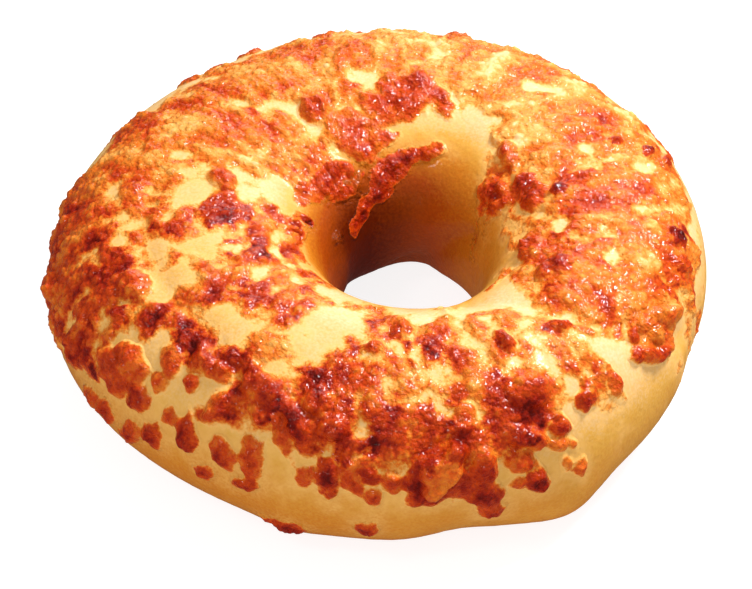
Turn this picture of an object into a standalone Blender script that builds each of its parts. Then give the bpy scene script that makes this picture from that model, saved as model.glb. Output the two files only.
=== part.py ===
"""Cheese bagel: a plump dough ring with a browned, uneven cheese crust, made as one solid.

Units are millimetres in the sizes below and metres in the mesh. The origin is on the surface
that the bagel stands on, under the middle of its outline, with +Z up.

A place on the bagel is given by two numbers. "Around" is the angle about the upright axis, in
degrees counter-clockwise from +X, so the front is at 270. "Down" is the distance from the top
of the ring over its side, outwards positive and into the hole negative.
"""

from math import radians
from random import Random
from typing import NamedTuple

import bpy
import numpy as np
from mathutils import Vector, noise

MM = 0.001

# Dough ring
CROWN_HEIGHT = 36.0
WAIST_HEIGHT = 17.0
CROWN_POWER = 2.1
BASE_POWER = 2.3
BASE_PRESS = 1.03
RADII_STEP = 30.0
OUTER_RADII = (57.8, 58.4, 58.1, 57.2, 56.4, 56.8, 57.6, 56.8, 55.4, 57.2, 58.2, 57.6)
HOLE_RADII = (16.3, 13.6, 11.6, 8.8, 6.8, 6.0, 6.6, 9.5, 12.9, 16.6, 20.4, 20.2)

# Mesh
RING_SEGMENTS = 288
TUBE_SEGMENTS = 108
MOST_TRIANGLES = 11800
NORMAL_STEP = 0.25

# Crust
CRUST_EDGE = 1.5
CRUST_GRAIN = 3.4
CRUST_GRAIN_LIFT = 0.30
CRUST_RAGGED = 0.35
RAGGED_GRAIN = 5.0

# Drips on the far side, which run down from the crust's edge
FAR_DRIPS = 22
FAR_DRIP_ARC = (22.0, 178.0)
FAR_DRIP_DOWN = (19.0, 34.0)
FAR_DRIP_SEED = 11

DOUGH_COLOUR = (0.80, 0.47, 0.16, 1.0)
DOUGH_ROUGHNESS = 0.45


class Swell(NamedTuple):
    """A place where the ring is fuller, or hollow where `out` is negative."""

    around: float
    tube: float
    out: float
    half_around: float
    half_tube: float


class Seam(NamedTuple):
    """A groove between two strands of dough, along straight stretches between its places."""

    places: tuple
    depth: float
    half_width: float


class Patch(NamedTuple):
    """A raised patch of melted cheese, `along` down the side by `across`, turned by `turn`."""

    around: float
    down: float
    along: float
    across: float
    turn: float
    lift: float


# The `tube` angle of a swell is 0 at the outer side, 90 at the crown and 180 in the hole.
SWELLS = (
    Swell(285, -50, -2.2, 8, 40),
    Swell(305, -45, 3.2, 8, 32),
    Swell(254, -45, 1.2, 7, 40),
    Swell(344, -20, -1.0, 7, 60),
    Swell(65, 225, 1.6, 14, 40),
    Swell(165, 225, -1.2, 25, 40),
)

SEAMS = (
    Seam(((303, -15.5), (311, -5), (316, 4), (323, 13), (328, 19), (337, 27)), 1.1, 2.8),
    Seam(((172, 5), (190, 8), (210, 8.5), (228, 10), (241, 15)), 0.8, 2.2),
    Seam(((268, -9), (261, -2), (252, 8)), 0.5, 3.0),
    Seam(((76, -46), (60, -42), (34, -33), (12, -27)), 1.6, 2.4),
)

# Thin crust that lies over the top of the ring
SHEETS = (
    Patch(243, 15.5, 9, 14, 0, 0.6),
    Patch(262, 13, 17, 17, 0, 0.6),
    Patch(278, 11, 22, 16, 0, 0.6),
    Patch(293, 9, 28, 16, 0, 0.6),
    Patch(304, 13, 20, 9, 0, 0.6),
    Patch(272, -4, 9, 6, 0, 0.4),
    Patch(290, -6, 8, 16, 0, 0.5),
    Patch(334, 4, 32, 28, 0, 0.7),
    Patch(352, 1, 36, 22, 0, 0.7),
    Patch(12, 2, 38, 24, 0, 0.6),
    Patch(33, 4, 32, 22, 0, 0.6),
    Patch(52, 5, 26, 18, 0, 0.6),
    Patch(72, 2, 26, 18, 0, 0.6),
    Patch(92, 3, 30, 18, 0, 0.6),
    Patch(112, 1, 34, 20, 0, 0.6),
    Patch(132, 0, 36, 20, 0, 0.6),
    Patch(150, 2, 34, 18, 0, 0.6),
    Patch(168, 6, 26, 16, 0, 0.5),
    Patch(186, -3, 14, 12, 0, 0.6),
    Patch(200, -6, 16, 10, 20, 0.5),
    Patch(217, -6, 14, 10, 15, 0.6),
    Patch(196, 8, 12, 16, 0, 0.4),
    Patch(219, 5, 8, 9, 0, 0.4),
    Patch(186, 23, 20, 30, 0, 0.7),
    Patch(203, 16, 14, 12, 0, 0.7),
)

# Thick browned blobs and runs of cheese
BLOBS = (
    Patch(219, 23, 14, 11, 0, 1.1),
    Patch(213, 17, 9, 6, 0, 0.9),
    Patch(226, 18, 6, 5, 0, 0.9),
    Patch(207, 31, 8, 4, -15, 0.9),
    Patch(213, 35, 6, 7, 0, 0.9),
    Patch(221, 36, 8, 4, -10, 1.0),
    Patch(227, 32, 7, 5, 10, 1.0),
    Patch(189, 28, 5, 5, 0, 1.3),
    Patch(233, 27, 8, 4.5, 12, 1.1),
    Patch(232, 19.5, 6, 5, 0, 1.0),
    Patch(235, 14.5, 4.5, 11, 0, 1.0),
    Patch(235, 1.5, 4, 10, 0, 0.9),
    Patch(231, -3, 8, 3, 0, 0.7),
    Patch(246, -3, 8, 3, 0, 0.7),
    Patch(239, -8, 3, 8, 0, 0.6),
    Patch(241, 21, 7, 4.5, -12, 1.0),
    Patch(245, 15.5, 8, 8, 0, 1.0),
    Patch(254.5, 19, 13, 5.5, 12, 1.2),
    Patch(242, 28.5, 7, 5, 20, 1.0),
    Patch(247.5, 27, 8, 4.2, 0, 1.1),
    Patch(245.5, 33.8, 7.5, 4.2, -25, 1.0),
    Patch(238, 35.3, 5, 3.6, 0, 0.9),
    Patch(257, 28.8, 5.5, 3.4, -25, 0.9),
    Patch(262, 28.3, 9.5, 4.2, 5, 1.1),
    Patch(269, 26.5, 7, 7, 0, 1.2),
    Patch(268, 39, 7, 3.6, 0, 0.8),
    Patch(254, 42.3, 5, 9, 0, 0.45),
    Patch(281, 27.5, 11, 7.5, 0, 1.5),
    Patch(288.5, 25.5, 12, 8, 0, 1.3),
    Patch(290, 36, 7.5, 4.6, 10, 1.1),
    Patch(298, 29.5, 10.5, 5.6, 0, 1.2),
    Patch(302, 18.5, 5.5, 5, 0, 1.0),
    Patch(309.8, 21, 7, 3.2, 10, 0.9),
    Patch(314.2, 24, 7, 3, 10, 0.9),
    Patch(318.6, 20.5, 7.5, 4, 10, 1.0),
    Patch(312.8, 5, 6, 3.4, 0, 1.0),
    Patch(326.5, 20.5, 7.5, 4.4, 15, 1.3),
    Patch(330, 23.5, 6, 4.4, 20, 1.4),
    Patch(330, -3, 7, 7, 0, 1.0),
    Patch(338, -11, 6, 10, 0, 0.9),
    Patch(353, 17, 5, 4.5, 0, 1.0),
    Patch(2, -6, 5, 5, 0, 1.2),
    Patch(10, -16, 6, 9, 0, 0.9),
    Patch(18.5, 8, 5, 4, 0, 1.1),
    Patch(17.5, 14.5, 4.5, 4, 0, 1.0),
    Patch(68, -6, 12, 4, 20, 1.1),
    Patch(77, -7, 11, 4.5, 20, 1.1),
    Patch(82, -18.5, 6, 9, 0, 1.1),
    Patch(100, -14, 7, 8, 0, 1.0),
    Patch(108, -26.5, 4, 14, 0, 0.9),
    Patch(119, -6, 6, 5, 0, 1.0),
    Patch(126, -20, 6, 7, 0, 1.0),
    Patch(149, -18, 5, 11, 0, 0.9),
    Patch(173, -4, 5, 6, 0, 0.9),
    Patch(264.5, 11, 8, 6, 0, 0.9),
    Patch(297, -4, 8, 4.5, 0, 0.8),
    Patch(306, -4, 7, 4.5, 0, 0.8),
    Patch(285, 17, 7, 7, 0, 0.9),
    Patch(294, 18, 8, 6, 0, 1.0),
)


def degrees_between(angle, centre):
    """Return the turn from `centre` to `angle`, between -180 and 180 degrees."""
    return (angle - centre + 180.0) % 360.0 - 180.0


def around_the_ring(radii, around):
    """Return a smooth closed curve through `radii`, read at the angles `around`."""
    harmonics = np.fft.rfft(radii) / len(radii)
    angle = np.radians(around)
    value = np.full_like(angle, harmonics[0].real)
    for order, harmonic in enumerate(harmonics[1:], start=1):
        share = 1.0 if 2 * order == len(radii) else 2.0
        value += share * (harmonic.real * np.cos(order * angle) - harmonic.imag * np.sin(order * angle))
    return value


def section(tube):
    """Return the section's sideways place (-1 to 1) and height for each `tube` angle."""
    cosine = np.cos(np.radians(tube))
    sine = np.sin(np.radians(tube))
    power = np.where(sine > 0.0, CROWN_POWER, BASE_POWER)
    sideways = np.sign(cosine) * np.abs(cosine) ** (2.0 / power)
    rise = np.abs(sine) ** (2.0 / power)
    upper = WAIST_HEIGHT + (CROWN_HEIGHT - WAIST_HEIGHT) * rise
    lower = WAIST_HEIGHT * (1.0 - np.minimum(1.0, BASE_PRESS * rise))
    return sideways, np.where(sine > 0.0, upper, lower)


def dough_points(around, tube):
    """Return the dough's points in millimetres for each ring and tube angle."""
    outer = around_the_ring(OUTER_RADII, around)
    hole = around_the_ring(HOLE_RADII, around)
    for swell in SWELLS:
        ring_part = degrees_between(around, swell.around) / swell.half_around
        tube_part = degrees_between(tube, swell.tube) / swell.half_tube
        fullness = swell.out * np.exp(-(ring_part**2) - tube_part**2)
        if swell.tube < 90.0:
            outer = outer + fullness
        else:
            hole = hole + fullness
    sideways, height = section(tube)
    reach = (outer + hole) / 2.0 + (outer - hole) / 2.0 * sideways
    angle = np.radians(around)
    return np.stack([reach * np.cos(angle), reach * np.sin(angle), height], axis=-1)


def outward_normals(around, tube):
    """Return the dough's outward unit normals for each ring and tube angle."""
    along_ring = dough_points(around + NORMAL_STEP, tube) - dough_points(around - NORMAL_STEP, tube)
    along_tube = dough_points(around, tube + NORMAL_STEP) - dough_points(around, tube - NORMAL_STEP)
    normals = np.cross(along_ring, along_tube)
    return normals / np.linalg.norm(normals, axis=-1, keepdims=True)


def distance_down(tube):
    """Return the distance from the crown over the mean section for each `tube` angle."""
    angles = np.linspace(-90.0, 270.0, 721)
    sideways, height = section(angles)
    reach = (np.mean(OUTER_RADII) - np.mean(HOLE_RADII)) / 2.0 * sideways
    steps = np.hypot(np.diff(reach), np.diff(height))
    travelled = np.concatenate([[0.0], np.cumsum(steps)])
    crown = np.interp(90.0, angles, travelled)
    return crown - np.interp((tube + 90.0) % 360.0 - 90.0, angles, travelled)


def grain(points, size):
    """Return smooth noise between about -1 and 1 whose lumps are about `size` across."""
    return np.array([noise.noise(Vector(point) / size) for point in points])


def seam_depth(around, down, reach):
    """Return how deep the seams between the strands are at each place."""
    depth = np.zeros_like(around)
    for seam in SEAMS:
        nearest = np.full_like(around, np.inf)
        for (start_around, start_down), (end_around, end_down) in zip(seam.places, seam.places[1:]):
            across = np.radians(degrees_between(around, start_around)) * reach
            span_across = radians(degrees_between(end_around, start_around)) * reach
            span_down = end_down - start_down
            share = (across * span_across + (down - start_down) * span_down) / (span_across**2 + span_down**2)
            share = np.clip(share, 0.0, 1.0)
            away = np.hypot(across - share * span_across, down - start_down - share * span_down)
            nearest = np.minimum(nearest, away)
        depth += seam.depth * np.exp(-((nearest / seam.half_width) ** 2))
    return depth


def patch_lift(patch, around, down, reach, ragged):
    """Return the height of one cheese patch, with a rounded edge that wanders by `ragged`."""
    across = np.radians(degrees_between(around, patch.around)) * reach
    onward = down - patch.down
    cosine = np.cos(radians(patch.turn))
    sine = np.sin(radians(patch.turn))
    length_part = (onward * cosine + across * sine) / (patch.along / 2.0)
    width_part = (across * cosine - onward * sine) / (patch.across / 2.0)
    inside = 1.0 - np.hypot(length_part, width_part) + CRUST_RAGGED * ragged
    rise = np.clip(inside * min(patch.along, patch.across) / 2.0 / CRUST_EDGE, 0.0, 1.0)
    return patch.lift * rise * rise * (3.0 - 2.0 * rise)


def far_drips():
    """Return the drips of the far side, scattered evenly along the crust's edge there."""
    chance = Random(FAR_DRIP_SEED)
    first, last = FAR_DRIP_ARC
    step = (last - first) / FAR_DRIPS
    drips = []
    for index in range(FAR_DRIPS):
        around = first + step * (index + chance.uniform(0.1, 0.9))
        down = chance.uniform(*FAR_DRIP_DOWN)
        along = chance.uniform(5.0, 9.5)
        across = chance.uniform(3.6, 6.0)
        drips.append(Patch(around, down, along, across, chance.uniform(-20.0, 20.0), chance.uniform(0.8, 1.1)))
    return drips


def crust_lift(around, down, points):
    """Return the cheese crust's height over the dough at each place."""
    reach = np.hypot(points[:, 0], points[:, 1])
    ragged = grain(points, RAGGED_GRAIN)
    lift = np.zeros_like(around)
    for patch in (*SHEETS, *BLOBS, *far_drips()):
        lift = np.maximum(lift, patch_lift(patch, around, down, reach, ragged))
    grainy = CRUST_GRAIN_LIFT * grain(points, CRUST_GRAIN) * np.minimum(1.0, 2.0 * lift)
    return np.maximum(0.0, lift + grainy)


def shape_bagel(mesh, ring_radius, tube_radius):
    """Move a torus mesh's vertices on to the bagel's surface."""
    places = np.empty(3 * len(mesh.vertices))
    mesh.vertices.foreach_get("co", places)
    places = places.reshape(-1, 3) / MM
    around = np.degrees(np.arctan2(places[:, 1], places[:, 0])) % 360.0
    outwards = np.hypot(places[:, 0], places[:, 1]) - ring_radius
    tube = np.degrees(np.arctan2(places[:, 2] / tube_radius, outwards / tube_radius))
    points = dough_points(around, tube)
    down = distance_down(tube)
    reach = np.hypot(points[:, 0], points[:, 1])
    relief = crust_lift(around, down, points) - seam_depth(around, down, reach)
    points = points + relief[:, None] * outward_normals(around, tube)
    points[:, 2] = np.maximum(points[:, 2], 0.0)
    mesh.vertices.foreach_set("co", (points * MM).ravel())
    mesh.update()


def centre_on_outline(mesh):
    """Move the mesh so that the origin is under the middle of its outline."""
    corners = np.empty(3 * len(mesh.vertices))
    mesh.vertices.foreach_get("co", corners)
    corners = corners.reshape(-1, 3)
    middle = (corners.min(axis=0) + corners.max(axis=0)) / 2.0
    corners -= (middle[0], middle[1], corners[:, 2].min())
    mesh.vertices.foreach_set("co", corners.ravel())
    mesh.update()


def crust_material():
    """Return the baked crust's material."""
    material = bpy.data.materials.new("baked_cheese_crust")
    material.use_nodes = True
    shader = material.node_tree.nodes["Principled BSDF"]
    shader.inputs["Base Color"].default_value = DOUGH_COLOUR
    shader.inputs["Roughness"].default_value = DOUGH_ROUGHNESS
    shader.inputs["Metallic"].default_value = 0.0
    material.diffuse_color = DOUGH_COLOUR
    return material


def make_bagel(collection):
    """Add the bagel, a shaped torus with its triangles spent where the crust is rough."""
    ring_radius = (max(OUTER_RADII) + min(HOLE_RADII)) / 2.0
    tube_radius = (max(OUTER_RADII) - min(HOLE_RADII)) / 2.0
    bpy.ops.mesh.primitive_torus_add(
        major_segments=RING_SEGMENTS,
        minor_segments=TUBE_SEGMENTS,
        major_radius=ring_radius * MM,
        minor_radius=tube_radius * MM,
    )
    bagel = bpy.context.active_object
    bagel.name = "bagel"
    bagel.data.name = "bagel"
    shape_bagel(bagel.data, ring_radius, tube_radius)
    centre_on_outline(bagel.data)
    bagel.data.shade_smooth()
    bagel.data.materials.append(crust_material())
    thin_out = bagel.modifiers.new("thin_out", "DECIMATE")
    thin_out.ratio = MOST_TRIANGLES / (2.0 * RING_SEGMENTS * TUBE_SEGMENTS)
    for holder in list(bagel.users_collection):
        holder.objects.unlink(bagel)
    collection.objects.link(bagel)
    return bagel


def main():
    """Clear the scene and make the bagel."""
    for old in list(bpy.data.objects):
        bpy.data.objects.remove(old, do_unlink=True)
    collection = bpy.data.collections.new("cheese_bagel")
    bpy.context.scene.collection.children.link(collection)
    make_bagel(collection)


main()
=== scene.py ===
"""Dresses the cheese bagel: baked dough, melted cheese and browned blobs of cheese.

Sizes are in millimetres and turned into metres where a mesh gets its places. A place on the
bagel is given by two numbers. "Around" is the angle about the upright axis, in degrees
counter-clockwise from +X, so the front is at 270. "Down" is the distance from the top of the
ring over its side, outwards positive and into the hole negative.
"""

import logging
import math
from dataclasses import dataclass
from enum import Enum
from random import Random
from typing import Callable, NamedTuple, Sequence

import bmesh
import bpy
import numpy as np
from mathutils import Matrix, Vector, noise

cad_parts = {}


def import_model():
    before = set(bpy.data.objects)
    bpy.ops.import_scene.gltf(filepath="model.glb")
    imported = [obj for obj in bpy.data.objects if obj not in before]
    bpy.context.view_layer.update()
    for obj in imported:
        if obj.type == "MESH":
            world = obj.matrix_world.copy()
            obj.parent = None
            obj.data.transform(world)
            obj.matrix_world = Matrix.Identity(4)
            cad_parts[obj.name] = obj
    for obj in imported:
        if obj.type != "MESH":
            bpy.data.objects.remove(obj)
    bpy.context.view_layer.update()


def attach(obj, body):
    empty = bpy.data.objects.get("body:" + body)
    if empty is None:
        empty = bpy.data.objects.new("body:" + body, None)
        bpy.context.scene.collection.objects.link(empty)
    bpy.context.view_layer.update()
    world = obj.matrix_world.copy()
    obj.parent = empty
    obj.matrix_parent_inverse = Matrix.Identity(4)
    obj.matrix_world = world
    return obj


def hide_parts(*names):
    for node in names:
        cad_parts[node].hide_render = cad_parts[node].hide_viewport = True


log = logging.getLogger("bagel")

MM = 0.001
Colour = tuple[float, float, float, float]
Field = np.ndarray
Value = bpy.types.NodeSocket | float | Colour
Rise = tuple[float, float, float, float]


class Layer(Enum):
    """The layers of cheese on the dough."""

    MELTED = "melted"
    BROWNED = "browned"


class Pattern(Enum):
    """The noise patterns in use, each shifted by its value so that no two are alike."""

    LUMPS = 0.0
    DIMPLES = 1.3
    WAVES = 1.9
    WIDE_MOTTLE = 2.4
    EDGE = 3.1
    PORES = 4.2
    GRIT = 4.9
    LACE = 5.3
    CRUMBS = 5.7
    PIMPLES = 6.4
    SHREDS = 6.6
    FINE_EDGE = 7.7
    MOTTLE = 8.8
    DOUGH = 9.4


class Swell(NamedTuple):
    """A place where the ring is fuller, or hollow where `out` is negative."""

    around: float
    tube: float
    out: float
    half_around: float
    half_tube: float


class Seam(NamedTuple):
    """A groove between two strands of dough, along straight stretches between its places."""

    places: tuple[tuple[float, float], ...]
    depth: float
    half_width: float


class Tear(NamedTuple):
    """A straight gap in the melted cheese where the dough shows, from one place to another."""

    around: float
    down: float
    end_around: float
    end_down: float
    width: float


class Patch(NamedTuple):
    """A patch of cheese: its middle, its size down the side and across, its turn and its looks."""

    around: float
    down: float
    along: float
    across: float
    turn: float
    lift: float
    bake: float


def srgb(red: float, green: float, blue: float) -> Colour:
    """Turn a colour given in screen values into the scene's linear values.

    Args:
        red: Screen red, 0 to 255.
        green: Screen green, 0 to 255.
        blue: Screen blue, 0 to 255.

    Returns:
        The linear colour with full alpha.
    """

    def to_linear(value: float) -> float:
        """Return one channel's linear value."""
        share = value / 255
        return ((share + 0.055) / 1.055) ** 2.4 if share > 0.0404 else share / 12.92

    return (to_linear(red), to_linear(green), to_linear(blue), 1.0)


def degrees_between(angle: Field, centre: float) -> Field:
    """Return the turn from `centre` to `angle`, between -180 and 180 degrees."""
    return (angle - centre + 180.0) % 360.0 - 180.0


def towards(around: Field, centre: float) -> Field:
    """Return 1 on the side of the ring at `centre`, falling to 0 on the opposite side."""
    return 0.5 + 0.5 * np.cos(np.radians(degrees_between(around, centre)))


def away_from_stretch(
    around: Field, down: Field, reach: Field, start: tuple[float, float], end: tuple[float, float]
) -> Field:
    """Return the distance from a straight stretch over the side, in millimetres.

    Args:
        around: Ring angles in degrees.
        down: Distances from the crown in millimetres.
        reach: Distances from the upright axis in millimetres.
        start: The stretch's first place, around and down.
        end: The stretch's last place, around and down.

    Returns:
        One distance for each place.
    """
    across = np.radians(degrees_between(around, start[0])) * reach
    onward = down - start[1]
    span_across = math.radians(degrees_between(end[0], start[0])) * reach
    span_down = end[1] - start[1]
    share = (across * span_across + onward * span_down) / (span_across**2 + span_down**2)
    share = np.clip(share, 0.0, 1.0)
    return np.hypot(across - share * span_across, onward - share * span_down)


def smoothstep(low: float, high: float, value: Field) -> Field:
    """Return a smooth rise from 0 at `low` to 1 at `high`."""
    share = np.clip((value - low) / (high - low), 0.0, 1.0)
    return share * share * (3.0 - 2.0 * share)


def grain(points: Field, size: float, pattern: Pattern) -> Field:
    """Return smooth noise between about -1 and 1.

    Args:
        points: Places in millimetres, one row each.
        size: The distance across a lump, in millimetres.
        pattern: Which noise to read.

    Returns:
        One value for each place.
    """
    shifted = points / size + pattern.value
    return np.array([noise.noise(Vector(place)) for place in shifted])


def granules(points: Field, size: float, pattern: Pattern) -> Field:
    """Return rounded grains, 1 on a grain's top and 0 in the gaps between grains.

    Args:
        points: Places in millimetres, one row each.
        size: The distance between grains, in millimetres.
        pattern: Which noise to read.

    Returns:
        One value for each place.
    """
    steepness = 1.6
    shifted = points / size + pattern.value
    gaps = np.empty(len(points))
    for index, place in enumerate(shifted):
        distances, _ = noise.voronoi(Vector(place))
        gaps[index] = distances[1] - distances[0]
    return np.clip(gaps * steepness, 0.0, 1.0)


@dataclass(frozen=True)
class BagelForm:
    """The plain form of the dough ring, before any crust."""

    crown_height: float = 36.0
    waist_height: float = 17.0
    crown_power: float = 2.1
    base_power: float = 2.3
    base_press: float = 1.03
    outer_radii: tuple[float, ...] = (
        *(57.8, 58.4, 58.1, 57.2, 56.4, 56.8),
        *(57.6, 56.8, 55.4, 57.2, 58.2, 57.6),
    )
    hole_radii: tuple[float, ...] = (
        *(16.3, 13.6, 11.6, 8.8, 6.8, 6.0),
        *(6.6, 9.5, 12.9, 16.6, 20.4, 20.2),
    )
    normal_step: float = 0.25
    swells: tuple[Swell, ...] = (
        Swell(285, -50, -2.2, 8, 40),
        Swell(305, -45, 3.2, 8, 32),
        Swell(254, -45, 1.2, 7, 40),
        Swell(344, -20, -1, 7, 60),
        Swell(65, 225, 1.6, 14, 40),
        Swell(165, 225, -1.2, 25, 40),
    )
    seams: tuple[Seam, ...] = (
        Seam(((303, -15.5), (311, -5), (316, 4), (323, 13), (328, 19), (337, 27)), 1.1, 2.8),
        Seam(((172, 5), (190, 8), (210, 8.5), (228, 10), (241, 15)), 0.8, 2.2),
        Seam(((268, -9), (261, -2), (252, 8)), 0.5, 3.0),
        Seam(((76, -46), (60, -42), (34, -33), (12, -27)), 1.6, 2.4),
    )

    def radius(self, radii: Sequence[float], around: Field) -> Field:
        """Return a smooth closed curve through `radii`, read at the angles `around`."""
        harmonics = np.fft.rfft(radii) / len(radii)
        angle = np.radians(around)
        value = np.full_like(angle, harmonics[0].real)
        for order, harmonic in enumerate(harmonics[1:], start=1):
            share = 1.0 if 2 * order == len(radii) else 2.0
            turn = order * angle
            value += share * (harmonic.real * np.cos(turn) - harmonic.imag * np.sin(turn))
        return value

    def section(self, tube: Field) -> tuple[Field, Field]:
        """Return the section's sideways place (-1 to 1) and height for each `tube` angle."""
        cosine = np.cos(np.radians(tube))
        sine = np.sin(np.radians(tube))
        power = np.where(sine > 0.0, self.crown_power, self.base_power)
        sideways = np.sign(cosine) * np.abs(cosine) ** (2.0 / power)
        rise = np.abs(sine) ** (2.0 / power)
        upper = self.waist_height + (self.crown_height - self.waist_height) * rise
        lower = self.waist_height * (1.0 - np.minimum(1.0, self.base_press * rise))
        return sideways, np.where(sine > 0.0, upper, lower)

    def points(self, around: Field, tube: Field) -> Field:
        """Return the dough's points in millimetres for each ring and tube angle."""
        outer = self.radius(self.outer_radii, around)
        hole = self.radius(self.hole_radii, around)
        for swell in self.swells:
            ring_part = degrees_between(around, swell.around) / swell.half_around
            tube_part = degrees_between(tube, swell.tube) / swell.half_tube
            fullness = swell.out * np.exp(-(ring_part**2) - tube_part**2)
            if swell.tube < 90.0:
                outer = outer + fullness
            else:
                hole = hole + fullness
        sideways, height = self.section(tube)
        reach = (outer + hole) / 2.0 + (outer - hole) / 2.0 * sideways
        angle = np.radians(around)
        return np.stack([reach * np.cos(angle), reach * np.sin(angle), height], axis=-1)

    def normals(self, around: Field, tube: Field) -> Field:
        """Return the dough's outward unit normals for each ring and tube angle."""
        step = self.normal_step
        along_ring = self.points(around + step, tube) - self.points(around - step, tube)
        along_tube = self.points(around, tube + step) - self.points(around, tube - step)
        normals = np.cross(along_ring, along_tube)
        return normals / np.linalg.norm(normals, axis=-1, keepdims=True)

    def mean_section(self) -> tuple[Field, Field]:
        """Return tube angles and, for each, the distance from the crown over the mean section."""
        angles = np.linspace(-90.0, 270.0, 721)
        sideways, height = self.section(angles)
        reach = (np.mean(self.outer_radii) - np.mean(self.hole_radii)) / 2.0 * sideways
        travelled = np.concatenate([[0.0], np.cumsum(np.hypot(np.diff(reach), np.diff(height)))])
        return angles, np.interp(90.0, angles, travelled) - travelled

    def down(self, tube: Field) -> Field:
        """Return the distance down from the crown for each `tube` angle."""
        angles, distance = self.mean_section()
        return np.interp((tube + 90.0) % 360.0 - 90.0, angles, distance)

    def tube(self, down: Field) -> Field:
        """Return the tube angle for each distance `down` from the crown."""
        angles, distance = self.mean_section()
        return np.interp(-down, -distance, angles)

    def seam_depth(self, around: Field, down: Field, reach: Field) -> Field:
        """Return how deep the seams between the strands are at each place."""
        depth = np.zeros_like(around)
        for seam in self.seams:
            nearest = np.full_like(around, np.inf)
            for start, end in zip(seam.places, seam.places[1:]):
                nearest = np.minimum(nearest, away_from_stretch(around, down, reach, start, end))
            depth += seam.depth * np.exp(-((nearest / seam.half_width) ** 2))
        return depth


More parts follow.
